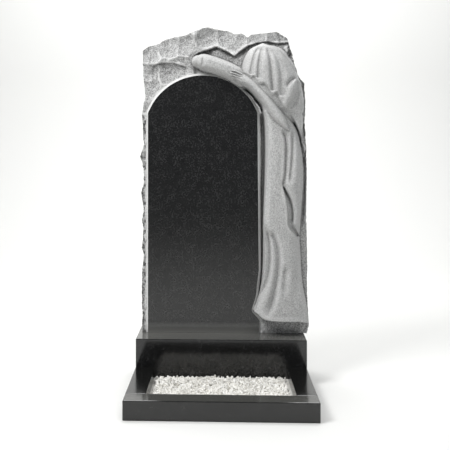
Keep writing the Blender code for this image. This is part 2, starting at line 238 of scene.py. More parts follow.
# %% Sheet and outline of the stone
MM = 0.001
stone_low, stone_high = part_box("stele")
FOOT = stone_low.z
BACK_Y = stone_high.y
SLAB = 80                 # thickness behind the polished face
FACE_Y = BACK_Y - SLAB * MM
SHEET_W = 608
FOOT_SPARE = 20           # sawn off below the foot
TOP = [(-286, 1023), (-265, 1040), (-226, 1051), (-208, 1064), (-173, 1073), (-131, 1079), (-101, 1092),
       (-66, 1105), (-44, 1109), (-22, 1102), (29, 1096), (49, 1085), (77, 1086), (97, 1073), (110, 1083),
       (166, 1088), (202, 1093), (220, 1082), (240, 1069)]
LEFT = [(-287, 0), (-289, 132), (-290, 175), (-286, 233), (-282, 277), (-289, 306), (-286, 350),
        (-283, 379), (-289, 408), (-283, 437), (-286, 466), (-291, 510), (-282, 539), (-282, 575),
        (-286, 611), (-294, 640), (-290, 655), (-282, 684), (-286, 757), (-289, 786), (-283, 829),
        (-276, 858), (-278, 873), (-283, 931), (-285, 1018), (-286, 1025)]
RIGHT = [(309, 0), (318, 30), (313, 150), (313, 300), (310, 420), (313, 626), (306, 770), (304, 849),
         (301, 905), (277, 935), (266, 977), (256, 1020), (240, 1069)]

# Lines that more than one form follows: both sides of the robe, and the arm that lies on the other.
FLANK = [(110, 73), (114, 84), (130, 117), (146, 190), (151, 335), (157, 620), (151, 808), (124, 862)]
BACK = [(316, 15), (311, 87), (293, 188), (287, 303), (285, 353), (294, 486), (299, 575), (291, 665),
        (272, 743), (230, 806)]
LEFT_ARM = [(55, 931, 15, 60), (66, 924, 20, 68), (83, 914, 20, 74), (115, 893, 19, 76),
            (161, 842, 21, 80), (195, 794, 25, 78), (214, 769, 22, 74), (228, 750, 14, 68),
            (240, 735, 3, 60)]


def to_part(x, y, z):
    """Sheet to the part's own frame, in metres. Depths go back from the polished face."""
    return np.stack([x * MM, FACE_Y + y * MM, FOOT + z * MM], axis=-1)


print("polished face at y", round(FACE_Y, 4), "and foot at z", round(FOOT, 4))

# %% [markdown]
# A few drawing tools do all the carving. The first are a soft step from one level to another, a
# rounded joint of two heights, a smooth line through points and the distance to it.

# %% Steps and lines
OUTSIDE = -100            # height given where a form isn't


def step(share):
    """Soft step from 0 to 1."""
    share = np.clip(share, 0, 1)
    return share * share * (3 - 2 * share)


def blend(a, b, width):
    """Larger of two heights, with a rounded joint."""
    share = np.clip(0.5 + 0.5 * (a - b) / width, 0, 1)
    return b + (a - b) * share + width * share * (1 - share)


def curve(points, parts=5):
    """Smooth line through rows of numbers."""
    rows = np.array(points, float)
    rows = np.vstack([2 * rows[0] - rows[1], rows, 2 * rows[-1] - rows[-2]])
    t = np.linspace(0, 1, parts, endpoint=False)[:, None]
    out = []
    for a, b, c, d in zip(rows[:-3], rows[1:-2], rows[2:-1], rows[3:]):
        bend = (2 * a - 5 * b + 4 * c - d) * t**2
        twist = (3 * b - a - 3 * c + d) * t**3
        out.append(0.5 * (2 * b + (c - a) * t + bend + twist))
    out.append(rows[-2][None])
    return np.vstack(out)


def follow(x, z, points):
    """Distance to a line, its sign by side, the share along it and the line's further columns."""
    line = curve(points)
    near = np.full(x.shape, 1e9)
    side = np.ones(x.shape)
    along = np.zeros(x.shape)
    more = [np.zeros(x.shape) for _ in range(line.shape[1] - 2)]
    lengths = np.hypot(*np.diff(line[:, :2], axis=0).T)
    done = 0
    for a, b, length in zip(line[:-1], line[1:], lengths):
        dx, dz = (b[:2] - a[:2]) / length
        t = np.clip(((x - a[0]) * dx + (z - a[1]) * dz) / length, 0, 1)
        d = np.hypot(x - a[0] - t * length * dx, z - a[1] - t * length * dz)
        here = d < near
        near = np.where(here, d, near)
        side = np.where(here, np.sign((x - a[0]) * dz - (z - a[1]) * dx), side)
        along = np.where(here, (done + t * length) / lengths.sum(), along)
        more = [np.where(here, a[2 + i] + t * (b[2 + i] - a[2 + i]), m) for i, m in enumerate(more)]
        done += length
    return near, side, along, more


def height_at(x, points, smooth=True):
    """Height of a line that runs from left to right."""
    line = curve(points) if smooth else np.array(points, float)
    return np.interp(x, np.maximum.accumulate(line[:, 0]), line[:, 1])


def place_at(z, points, smooth=True):
    """Place across of a line that runs upwards."""
    line = curve(points) if smooth else np.array(points, float)
    return np.interp(z, np.maximum.accumulate(line[:, 1]), line[:, 0])


# %% [markdown]
# Three forms are laid along such lines: a valley, a rounded limb and a soft swelling. A shelf is the
# shadowed ground just under a line.


# %% Forms along a line
def crease(x, z, points, width, depth, lean=0.0, start=0.1, end=0.15):
    """A valley along a line, steeper on one side as lean goes to -1 or 1, fading at both ends."""
    near, side, along, _ = follow(x, z, points)
    reach = width * np.where(side < 0, 1 + lean, 1 - lean)
    fade = step(along / start) * step((1 - along) / end)
    return -depth * fade * np.exp(-(near / reach) ** 1.5)


def limb(x, z, points, power=2.6, shape=0.5):
    """A rounded length of arm or cloth, from rows of x, z, half width and height."""
    near, _, _, (half, height) = follow(x, z, points)
    share = near / half
    return np.where(share < 1, height * np.clip(1 - share**power, 0, 1) ** shape, OUTSIDE)


def swell(x, z, points, power=2.0, shape=1.0):
    """1 on the middle of a line that has a half width, 0 outside it."""
    near, _, _, (half,) = follow(x, z, points)
    return np.clip(1 - (near / half) ** power, 0, 1) ** shape


def shelf(x, z, points, reach):
    """1 just under a line from left to right, fading with the distance below it."""
    below = height_at(x, points, False) - z
    ends = step((x - points[0][0]) / 12) * step((points[-1][0] - x) / 12)
    return ends * step(below / 4) * np.exp(-np.maximum(below, 0) / reach)


# %% [markdown]
# Grain is a cloud of random values on a lattice, blended between its corners, that repeats only after
# 64 cells. Flakes are small bowls, one at a random place of each cell of a grid, as a chisel leaves
# them. Both come from fixed seeds, so the stone is the same each time.

# %% Seeded grain and flakes
TABLE_CELLS = 64
grain_table = np.random.default_rng(11).uniform(-1, 1, (TABLE_CELLS,) * 3)


def grain(places, size):
    """Random heights from -1 to 1 that change over one cell of the given size."""
    scaled = places / size
    cell = np.floor(scaled).astype(int)
    share = step(scaled - cell)
    total = np.zeros(len(places))
    for corner in np.ndindex(2, 2, 2):
        spot = (cell + corner) % TABLE_CELLS
        weight = np.prod(np.where(corner, share, 1 - share), axis=1)
        total += weight * grain_table[spot[:, 0], spot[:, 1], spot[:, 2]]
    return total


def grain_over(x, z, size, shift=0):
    """Grain for places on the sheet."""
    return grain(np.stack([x, z, 0 * x], axis=-1) + shift, size)


def flaked(across, up, spacing, radius, depth, seed):
    """Small hollow flakes struck side by side, 0 on the ridges between them and negative inside."""
    dice = np.random.default_rng(seed)
    low = np.array([across.min(), up.min()]) - spacing
    count = np.ceil((np.array([across.max(), up.max()]) + spacing - low) / spacing).astype(int)
    spots = low + (np.stack(np.indices(count), axis=-1) + dice.uniform(0, 1, (*count, 2))) * spacing
    deeps = dice.uniform(0.3, 1, count) * depth
    cell = np.clip(((np.stack([across, up], axis=-1) - low) / spacing).astype(int), 1, count - 2)
    best = np.zeros(across.shape)
    for shift in np.ndindex(3, 3):
        near = cell + np.array(shift) - 1
        spot = spots[near[..., 0], near[..., 1]]
        away = (across - spot[..., 0]) ** 2 + (up - spot[..., 1]) ** 2
        best = np.minimum(best, away / (2 * radius) - deeps[near[..., 0], near[..., 1]])
    return best


# %% [markdown]
# The polished face is an arch on straight sides. Its right edge bends round the hem of the robe. A
# narrow matt chamfer runs all round it, and the rock begins behind the chamfer.

# %% Arch of the polished face
PANEL_LEFT = -266
PANEL_SPRING = 798
PANEL_CROWN = 935
PANEL_RIGHT = [(135, 0), (140, 46), (113, 77), (112, 88), (126, 132), (137, 230), (136, 306),
               (132, PANEL_SPRING)]
CHAMFER = 9
CHAMFER_DROP = 12
PANEL_ROOT = 45
ARCH_PARTS = 64


def arch():
    """Middle and radius of the arch over the polished face."""
    half = (PANEL_RIGHT[-1][0] - PANEL_LEFT) / 2
    rise = PANEL_CROWN - PANEL_SPRING
    radius = (half**2 + rise**2) / (2 * rise)
    return PANEL_LEFT + half, PANEL_CROWN - radius, radius


def outside_panel(x, z):
    """Distance outside the edge of the polished face, negative inside."""
    middle, centre, radius = arch()
    sides = np.maximum(PANEL_LEFT - x, x - place_at(z, PANEL_RIGHT, False))
    over = np.hypot(x - middle, z - centre) - radius
    return np.where(z > PANEL_SPRING, np.maximum(sides, over), sides)


print("arch: middle, centre and radius", [round(float(value)) for value in arch()])

# %% [markdown]
# The rock round the arch was struck off with a pitching tool. Each blow leaves a shallow hollow, and
# two hollows meet in a sharp ridge. So the rock is the lowest of many bowls, a little warped and
# tilted, with a ledge at the left and a pocket behind the figure. Down both sides it is a thin strip.

# %% Broken rock
# Each flake: its middle, how deep it goes and how wide it is.
FLAKES = [(-273, 946, 7, 60), (-254, 1008, 4, 90), (-211, 1051, 4, 80), (-182, 1033, 9, 95),
          (-124, 1026, 4, 100), (-91, 1018, 5, 100), (-69, 1069, 3, 90), (-18, 1080, 5, 60),
          (15, 1069, 9, 70), (66, 1048, 3, 110), (128, 1064, 4, 80), (190, 1073, 5, 90),
          (-250, 936, 10, 90), (-190, 950, 14, 110), (-130, 950, 10, 120), (-250, 872, 13, 120)]
FLAKE_CURVE, FLAKE_EXTRA = 0.85, 1
FLAKE_TILT = 0.2
WARPS = ((7, 31), (2.5, 12))    # how far the ridges wander, and over what length
ROCK_TOP = 12
LEDGE = [(-258, 971), (-220, 984), (-173, 984), (-120, 968)]
LEDGE_DROP, LEDGE_REACH = 8, 60
POCKET = [(-102, 1006), (-84, 1020), (-52, 1030), (-18, 1041), (18, 1026), (49, 1007), (76, 1030),
          (103, 1046), (134, 1056), (170, 1059), (205, 1053), (258, 1056)]
POCKET_DROP = [(-102, 22), (100, 22), (130, 9), (180, 12), (258, 14)]
POCKET_REACH = 110
STRIP_DEPTH = 16          # rock beside the straight edges
STRIP_LESS = 8            # how much higher it lies on the left
RAGGED, RAGGED_LENGTH = 3.5, 13
LEFT_CHAMFER = 3.5        # the rock hides the rest of the chamfer down the left side
ROCK_SLOPE = 0.4          # rise of the rock from the chamfer
PANEL_SINK = 5            # the carved body stays this far behind the polished face, and more inside
PANEL_SINK_MORE = 8
GROOVE_DEPTH = 38         # sunk ground along the figure's flank


def rock(x, z):
    """Broken ground round the polished face and the figure."""
    h = np.full(x.shape, float(ROCK_TOP))
    (far, wide), (less_far, short) = WARPS
    warped_x = x + far * grain_over(x, z, wide) + less_far * grain_over(x, z, short, 400)
    warped_z = z + far * grain_over(x, z, wide, 800) + less_far * grain_over(x, z, short, 1200)
    tilts = np.random.default_rng(6).uniform(-FLAKE_TILT, FLAKE_TILT, (len(FLAKES), 2))
    for (flake_x, flake_z, deep, radius), (tilt_x, tilt_z) in zip(FLAKES, tilts):
        dx, dz = warped_x - flake_x, warped_z - flake_z
        bowl = (dx**2 + dz**2) / (2 * FLAKE_CURVE * radius) + tilt_x * dx + tilt_z * dz - deep
        h = np.minimum(h, bowl - FLAKE_EXTRA)
    h -= LEDGE_DROP * shelf(x, z, LEDGE, LEDGE_REACH)
    h -= height_at(x, POCKET_DROP, False) * shelf(x, z, POCKET, POCKET_REACH)
    strip = step((PANEL_SPRING + 20 - z) / 40)
    left_strip = strip * (x < 0)
    ragged = RAGGED * grain_over(x, z, RAGGED_LENGTH) * left_strip
    h = h * (1 - strip) - (STRIP_DEPTH - STRIP_LESS * left_strip) * strip + ragged
    beside = step((x - place_at(z, FLANK) + 16) / 12) * step((place_at(z, BACK) - x) / 10)
    h -= (GROOVE_DEPTH - STRIP_DEPTH) * strip * beside
    away = outside_panel(x, z)
    shown = CHAMFER - (CHAMFER - LEFT_CHAMFER) * left_strip
    beside_chamfer = ROCK_SLOPE * (away - shown) - CHAMFER_DROP * shown / CHAMFER + 0.6 + 0.4 * ragged
    h = np.minimum(h, beside_chamfer)
    under_panel = -CHAMFER_DROP - PANEL_SINK - PANEL_SINK_MORE * step(-away / 4)
    return np.where(away < shown - 1, under_panel, h)


# %% [markdown]
# The robe hangs from the elbow to the ground. Its left flank rises from a sunk groove beside the
# polished face, the folds are valleys with one steep side, and under the hem the block is left rough.

# %% Robe
FRONT = [(111, 84), (133, 127), (151, 195), (158, 270), (158, 341), (154, 420), (168, 616), (172, 700),
         (166, 769), (148, 819), (132, 876)]
HEM = [(96, 105), (110, 94), (129, 80), (156, 61), (209, 55), (268, 55), (292, 49), (323, 42)]
ROBE_TOP = 860
CHEST_PROUD = 52
SKIRT_FLARE = 20          # how much further out the skirt stands at its foot
SKIRT_TOP, FLARE_LENGTH = 350, 300
BACK_TURN = 0.62          # share across at which the robe begins to turn back
BLOCK_LEFT = 139
BLOCK_DEPTH, BLOCK_SLOPE = 6, 0.05
BLOCK_FLAKES = (18, 24, 3, 5)   # spacing, radius, depth and seed
CREVICE = [(283, 716), (300, 645), (305, 575), (304, 500), (300, 444), (291, 350)]
# Each fold: its line, width, depth, lean of its steep side, and the share that each end takes to fade.
FOLDS = [([(160, 406), (173, 330), (174, 259), (161, 188), (131, 126), (115, 97)],
          9, 17, -0.4, 0.15, 0.12),
         ([(174, 385), (201, 314), (204, 241), (195, 175), (180, 115), (162, 65)],
          11, 18, -0.4, 0.12, 0.15),
         ([(232, 257), (227, 204), (222, 129)], 11, 11, -0.3, 0.25, 0.4),
         ([(263, 243), (261, 183), (258, 87)], 18, 4, -0.2, 0.3, 0.3),
         ([(179, 698), (183, 644), (174, 520)], 11, 3, 0.0, 0.3, 0.3),
         ([(215, 691), (210, 563), (213, 442)], 10, 4, 0.0, 0.3, 0.4),
         ([(214, 737), (231, 694), (228, 577), (222, 537), (246, 486), (256, 441), (254, 398)],
          8, 14, 0.4, 0.08, 0.05),
         ([(255, 741), (254, 651), (245, 539)], 7, 11, 0.2, 0.15, 0.12)]
HOLLOW = [(224, 530, 3), (243, 477, 12), (248, 430, 12), (250, 395, 12), (275, 357, 6)]
HOLLOW_DEPTH = 18


def robe(x, z):
    """Standing figure from the elbow to the hem, with the rough block under it."""
    flank, front, back = place_at(z, FLANK), place_at(z, FRONT), place_at(z, BACK)
    rise = step((x - flank) / np.maximum(front - flank, 1)) ** 0.7
    across = np.clip((x - front) / (back - front), 0, 1)
    flare = step((SKIRT_TOP - z) / FLARE_LENGTH)
    crown = (CHEST_PROUD + SKIRT_FLARE * flare) * (0.8 + 0.2 * np.sin(np.pi * across**0.9))
    rounding = np.sqrt(1 - np.clip((across - BACK_TURN) / (1 - BACK_TURN), 0, 1) ** 2.4)
    kept = 0.35 + 0.35 * flare
    h = (crown + GROOVE_DEPTH) * rise * (kept + (1 - kept) * rounding) - GROOVE_DEPTH
    for points, width, depth, lean, start, end in FOLDS:
        h += crease(x, z, points, width, depth, lean, start, end)
    h -= HOLLOW_DEPTH * swell(x, z, HOLLOW, 2.0, 0.8)
    hem = height_at(x, HEM)
    block = -BLOCK_DEPTH + BLOCK_SLOPE * (hem - z) + flaked(x, z, *BLOCK_FLAKES)
    lifted = step((z - hem) / 6 + 0.5)
    h = block * (1 - lifted) + h * lifted
    inside = (x > flank) & (x < back) & (z < ROBE_TOP) & (z > hem - 6)
    return np.where((x > BLOCK_LEFT) & (z < hem), block, np.where(inside, h, OUTSIDE))


# %% [markdown]
# The head is bowed and wholly under its veil, so it is one dome with pleats that run down from the
# crown to a zigzag hem. The cloth goes on over the shoulder and is gathered in a knot there.

# %% Veil, shoulder and knot
HEAD_LEFT = [(64, 850), (68, 900), (71, 940), (74, 960), (81, 989), (91, 1010), (107, 1030),
             (150, 1050)]
HEAD_RIGHT = [(304, 850), (292, 900), (272, 940), (259, 960), (240, 989), (222, 1010), (200, 1030),
              (150, 1050)]
HEAD_END, HEAD_MIDDLE, HEAD_CROWN = 760, 925, 1050
HEAD_PROUD = 86
# Each pleat: its line, width and depth.
VEIL_FOLDS = [([(143, 1036), (124, 1012), (110, 965), (104, 930)], 7, 10),
              ([(150, 1036), (142, 1012), (133, 960), (131, 915)], 8, 12),
              ([(160, 1036), (172, 990), (178, 920), (182, 868)], 8, 12),
              ([(170, 1034), (192, 1002), (211, 940), (212, 850)], 13, 9)]
VEIL_HEM = [(53, 948), (76, 941), (98, 930), (108, 921), (118, 924), (135, 898), (150, 900), (166, 884),
            (183, 858), (196, 866), (210, 836), (236, 800)]
HEM_END = 222             # the hem is lost in the shoulder from here on
UNDER_VEIL = 0.86         # share of the veil's height that is left below the hem
SHOULDER = [(175, 963, 80, 46), (211, 913, 76, 50), (240, 855, 62, 50), (265, 795, 36, 44),
            (288, 698, 5, 16)]
SHOULDER_LINE = [(222, 816), (240, 790), (261, 761), (287, 698), (294, 662)]
KNOT = [(264, 908, 8), (255, 885, 17), (242, 856, 20), (226, 822, 14)]
KNOT_PROUD = 7
KNOT_LINES = [[(230, 880), (236, 894), (250, 911), (270, 921)],
              [(281, 885), (276, 855), (265, 830), (248, 804)]]


def head(x, z):
    """Bowed head under its veil, down to the zigzag of the hem."""
    left, right = place_at(z, HEAD_LEFT), place_at(z, HEAD_RIGHT)
    across = np.abs(2 * x - left - right) / np.maximum(right - left, 1)
    up = np.clip((z - HEAD_MIDDLE) / (HEAD_CROWN - HEAD_MIDDLE), 0, 1)
    down = np.clip((HEAD_MIDDLE - z) / (HEAD_MIDDLE - HEAD_END), 0, 1)
    dome = np.clip(1 - across**2.4, 0, 1) * (1 - up**2.6) * (1 - down**2)
    h = HEAD_PROUD * np.sqrt(dome)
    for points, width, depth in VEIL_FOLDS:
        h += crease(x, z, points, width, depth, 0.15, 0.15, 0.05)
    near, _, _, _ = follow(x, z, VEIL_HEM)
    above = np.where(z > height_at(x, VEIL_HEM), near, -near)
    kept = np.maximum(step(above / 7 + 0.4), step((x - HEM_END) / 22))
    h = UNDER_VEIL * h * (1 - kept) + h * kept
    return np.where((dome > 0) & (z > height_at(x, LEFT_ARM)), h, OUTSIDE)


def shoulder(x, z):
    """Cloth over the shoulder, behind the line down the back."""
    line = curve(SHOULDER_LINE)
    edge = np.interp(-z, -line[:, 1], line[:, 0], left=-SHEET_W, right=SHEET_W)
    shown = step((x - edge) / 8)
    return limb(x, z, SHOULDER, 2.2) * shown - GROOVE_DEPTH * (1 - shown)


def knot(x, z):
    """Gathered cloth on the shoulder with a line on either side."""
    h = KNOT_PROUD * swell(x, z, KNOT, 2.2, 1.0)
    for points in KNOT_LINES:
        h += crease(x, z, points, 6, 8, 0.3, 0.3, 0.3)
    return h


# %% [markdown]
# The arms lie crossed along the top of the arch. They are the highest forms, so they are carved last:
# each is a rounded limb along its own middle line, with a cuff on one and four fingers on the other.
# Last of all, the edges that the mason left raw are broken back. The rock down the right edge is
# coloured darker, and painted shade darkens the left strip, the rock beside the head and the stone under
# the ledges.

# %% Arms, and the whole relief
RIGHT_ARM = [(-84, 986, 22, 40), (-64, 983, 30, 50), (-20, 970, 30, 52), (34, 948, 30, 50),
             (75, 923, 30, 42)]
CUFF = [(-62, 1003), (-66, 983), (-69, 958)]
FINGERS = [[(39, 947, 4, 60), (52, 943, 5, 70), (72, 933, 6, 73)],
           [(35, 939, 4, 60), (50, 934, 5, 70), (72, 924, 6, 74)],
           [(36, 931, 4, 59), (50, 926, 5, 69), (72, 915, 6, 73)],
           [(42, 922, 3.5, 55), (55, 917, 4.5, 64), (72, 906, 5, 68)]]
ARM_GAP = [(94, 884, 6), (112, 871, 8), (144, 828, 8), (152, 807, 6)]
ARM_GAP_DEPTH = 30
RIM_WIDTH, RIM_DEPTH = 17, 13
RIM_LOW, RIM_HIGH = 560, 1050
RIM_WANDER, WANDER_LENGTH = 7, 24
BESIDE_HEAD, BESIDE_FOOT = 42, 900    # width of the raw rock right of the head, and where it begins
# Painted shade beside the head, in the pocket and under the ledge: its strength, and how far down it
# reaches.
BESIDE_DEPTH, BESIDE_HEAD_SHADE = 4, 0.7
POCKET_SHADE, POCKET_SHADE_REACH = 0.85, 42
LEDGE_SHADE, LEDGE_SHADE_REACH = 0.6, 30


def dark_rock_shade_and_breaks(x, z, struck):
    """How dark the broken stone is, as darker rock and painted shade, and how far it is broken back."""
    edge = place_at(z, RIGHT, False)
    wander = RIM_WANDER * grain_over(x, z, WANDER_LENGTH)
    rim = step((x - edge + RIM_WIDTH + wander) / RIM_WIDTH)
    rim = rim * step((z - RIM_LOW) / 60) * step((RIM_HIGH - z) / 20)
    beside_head = step((x - edge + BESIDE_HEAD) / 12) * step((z - BESIDE_FOOT) / 40) * struck
    left = step((outside_panel(x, z) - 1) / 2.5) * step((PANEL_SPRING + 30 - z) / 60) * (x < 0)
    pocket_shade = POCKET_SHADE * shelf(x, z, POCKET, POCKET_SHADE_REACH) * struck
    ledge_shade = LEDGE_SHADE * shelf(x, z, LEDGE, LEDGE_SHADE_REACH) * struck
    # The dark tone: the right rim is darker rock; beside the head, down the left strip, in the pocket and
    # under the ledge it is painted shade.
    dark_rock_and_shade = np.maximum.reduce([rim, BESIDE_HEAD_SHADE * beside_head, left, pocket_shade, ledge_shade])
    return dark_rock_and_shade, (RIM_DEPTH + wander) * rim + BESIDE_DEPTH * beside_head


def relief(x, z):
    """Height of the carved front before the polished face, and its finish: 0 carved, 1 struck, up to 2
    darker rock and painted shade.
    """
    ground = rock(x, z)
    body = robe(x, z)
    h = np.where(body > OUTSIDE, blend(ground, body, 2), ground)
    cloth, veil = shoulder(x, z), head(x, z)
    cloth = np.where(veil > OUTSIDE, blend(cloth, veil, 18), cloth)
    h = blend(h, cloth, 3)
    h += knot(x, z)
    h = np.maximum(h, limb(x, z, RIGHT_ARM))
    h += crease(x, z, CUFF, 6, 5, 0.5, 0.3, 0.3)
    h -= ARM_GAP_DEPTH * swell(x, z, ARM_GAP)
    arm = limb(x, z, LEFT_ARM, 2.6, 0.45)
    for points in FINGERS:
        arm = np.maximum(arm, limb(x, z, points, 2.2, 0.4))
    h = np.maximum(h, arm)
    under_hem = (x > BLOCK_LEFT) & (z < height_at(x, HEM) - 3)
    struck = (h - ground < 0.6) | under_hem
    dark_rock_and_shade, back = dark_rock_shade_and_breaks(x, z, struck)
    h += crease(x, z, CREVICE, 5, 16, 0.0, 0.08, 0.25)
    h -= back
    # Broken above 1 marks darker rock and painted shade.
    return h, np.where(dark_rock_and_shade > 0.05, 1 + dark_rock_and_shade, np.where(struck, 1.0, 0.0))


# %% [markdown]
# The block starts as a fine grid that stands upright. Its rim is extruded back in rounds to the sawn
# back, which is one plain face. The grid lines follow the broken outline, because each point is
# placed by its share across and up the stone.

# %% Block for the stone
GRID_STEP = 2.2           # millimetres between points of the carving
GRID_ACROSS = round(SHEET_W / GRID_STEP)
SHEET_H = 1130            # from the spare foot to the highest point
GRID_UP = round(SHEET_H / GRID_STEP)
SIDE_ROUNDS = 22
OUTLINE_ROUNDS = 12       # x and z depend on each other, so they are found in rounds


def outline(across, up):
    """Places on the sheet for shares across and up the stone, from the spare length below its foot."""
    x = PANEL_LEFT + SHEET_W * across
    for _ in range(OUTLINE_ROUNDS):
        z = up * (height_at(x, TOP, False) + FOOT_SPARE) - FOOT_SPARE
        left = place_at(z, LEFT, False)
        x = left + across * (place_at(z, RIGHT, False) - left)
    return x, z


def places_of(mesh):
    """Places of a mesh's points."""
    flat = np.empty(3 * len(mesh.vertices))
    mesh.vertices.foreach_get("co", flat)
    return flat.reshape(-1, 3)


def move_to(mesh, places):
    """Put a mesh's points in new places."""
    mesh.vertices.foreach_set("co", places.ravel())
    mesh.update()


def rough_block():
    """Upright grid with its rim pushed back in rounds and closed by one face."""
    begin()
    bpy.ops.mesh.primitive_grid_add(x_subdivisions=GRID_ACROSS, y_subdivisions=GRID_UP, size=1,
                                    rotation=(math.pi / 2, 0, 0))
    block = bpy.context.object
    bpy.ops.object.transform_apply(rotation=True)
    bpy.ops.object.mode_set(mode="EDIT")
    bpy.ops.mesh.select_all(action="SELECT")
    bpy.ops.mesh.region_to_loop()
    for _ in range(SIDE_ROUNDS):
        bpy.ops.mesh.extrude_region_move(TRANSFORM_OT_translate={"value": (0, 1 / SIDE_ROUNDS, 0)})
    bpy.ops.mesh.edge_face_add()
    bpy.ops.mesh.select_all(action="SELECT")
    bpy.ops.mesh.normals_make_consistent(inside=False)
    bpy.ops.object.mode_set(mode="OBJECT")
    return block


stone = rough_block()
stone.name = "carved_stone"
print("block:", len(stone.data.vertices), "points")

# %% [markdown]
# Two values are kept at each point for the finish. Broken tells struck rock from carving, and above 1
# it marks darker rock and painted shade. Hollow compares a point's height with the mean height around
# it: creases get painted shade, which also stands for the darker stone left deep in them, and ridges
# get a painted highlight.

# %% Hollow and ridge
FINE_REACH, WIDE_REACH = 3, 9   # grid points
WIDE_SHARE = 0.4


def smoothed(heights, reach):
    """Mean of a square of grid points round each one."""
    span = 2 * reach + 1
    for axis in (0, 1):
        pad = [(0, 0), (0, 0)]
        pad[axis] = (reach + 1, reach)
        total = np.cumsum(np.pad(heights, pad, mode="edge"), axis=axis)
        ahead = np.take(total, range(span, total.shape[axis]), axis=axis)
        heights = (ahead - np.take(total, range(0, total.shape[axis] - span), axis=axis)) / span
    return heights


def hollow_of(across, up, heights, front):
    """Millimetres that a point lies below the mean round it, at the front."""
    rows = np.round(up[front] * GRID_UP).astype(int)
    columns = np.round(across[front] * GRID_ACROSS).astype(int)
    sheet = np.zeros((GRID_UP + 1, GRID_ACROSS + 1))
    sheet[rows, columns] = heights[front]
    below = smoothed(sheet, FINE_REACH) - sheet + WIDE_SHARE * (smoothed(sheet, WIDE_REACH) - sheet)
    hollow = np.zeros(len(heights))
    hollow[front] = below[rows, columns]
    return hollow


def keep(mesh, name, values):
    """Store a value at each point for the material."""
    mesh.attributes.new(name, "FLOAT", "POINT").data.foreach_set("value", values.astype(np.float32))


# %% [markdown]
# Carving moves every point of the front to the relief. The sides are bitten by flakes too, deepest
# in the middle of the slab, and all that is broken gets a coarse grain, all that is carved a fine one.

# %% Carve the stone
SIDE_FLAKES = [(34, 45, 7, 8), (13, 18, 2.5, 9)]    # spacing, radius, depth and seed
SIDES_APART = 3000        # keeps one side from getting the other's flakes
COARSE_GRAIN, COARSE_HEIGHT = 11, 1.6
MIDDLE_GRAIN, MIDDLE_HEIGHT = 4.6, 1.1
TOOL_GRAIN, TOOL_HEIGHT = 5.0, 0.35


def carve(block):
    """Move the block's points to the stone."""
    across, deep, up = (places_of(block.data) + (0.5, 0, 0.5)).T
    x, z = outline(across, up)
    h = np.zeros(len(x))
    broken = np.ones(len(x))
    front = deep < 0.999
    h[front], broken[front] = relief(x[front], z[front])
    y = -h * (1 - deep) + SLAB * deep
    side = np.abs(across - 0.5) > 0.499
    top = up > 0.999
    bite = np.zeros(len(x))
    fade = np.sin(np.pi * np.clip(deep, 0, 1)) ** 0.5
    run = np.where(top, x, z + SIDES_APART * (across > 0.5))
    rim = side | top
    for flakes in SIDE_FLAKES:
        bite[rim] += flaked(SLAB * deep[rim], run[rim], *flakes)
    bite *= fade
    x = x - bite * (across < 0.001) + bite * (across > 0.999)
    z = z + bite * top
    move_to(block.data, to_part(x, y, z))
    normals = np.empty(3 * len(x))
    block.data.vertices.foreach_get("normal", normals)
    places = np.stack([x, y, z], axis=-1)
    rough = COARSE_HEIGHT * grain(places, COARSE_GRAIN) + MIDDLE_HEIGHT * grain(places + 50, MIDDLE_GRAIN)
    tooled = TOOL_HEIGHT * grain(places + 90, TOOL_GRAIN)
    lift = np.where(broken > 0.5, rough, tooled) * (deep < 0.999)
    places += normals.reshape(-1, 3) * lift[:, None]
    move_to(block.data, to_part(*places.T))
    keep(block.data, "broken", broken)
    keep(block.data, "hollow", hollow_of(across, up, h, front & (deep < 0.001)))


carve(stone)
print("carved:", stone.dimensions)

# %% [markdown]
# The polished face is a piece of its own until it is joined. A circle's points are moved to the outer
# edge of the chamfer, its face is pushed back into a root, and the front is inset and drawn forward by
# the depth of the chamfer. A Boolean then welds it into the stone, which leaves crisp edges that a
# grid could not give.


# %% Polished face
def panel_edge(away):
    """Edge of the polished face moved outwards, anticlockwise from the foot's left end."""
    middle, centre, radius = arch()
    half = np.arcsin((middle - PANEL_LEFT) / radius)
    turns = np.linspace(half, -half, ARCH_PARTS + 1)[1:-1]
    crown = [(middle + radius * np.sin(a), centre + radius * np.cos(a)) for a in turns]
    foot = [(PANEL_LEFT, -2 * FOOT_SPARE), (PANEL_RIGHT[0][0], -2 * FOOT_SPARE)]
    edge = np.array(foot + PANEL_RIGHT[1:] + crown + [(PANEL_LEFT, PANEL_SPRING)], float)
    ahead = np.roll(edge, -1, axis=0) - edge
    ahead /= np.hypot(*ahead.T)[:, None]
    normal = np.stack([ahead[:, 1], -ahead[:, 0]], axis=-1)
    mitre = normal + np.roll(normal, 1, axis=0)
    return edge + 2 * away * mitre / np.maximum((mitre**2).sum(axis=1), 0.6)[:, None]


def choose_faces(piece, wanted):
    """In edit mode, select the faces for which wanted(centre, normal) is true."""
    bpy.ops.mesh.select_all(action="DESELECT")
    bm = bmesh.from_edit_mesh(piece.data)
    for face in bm.faces:
        if wanted(face.calc_center_median(), face.normal):
            face.select_set(True)
    bmesh.update_edit_mesh(piece.data)


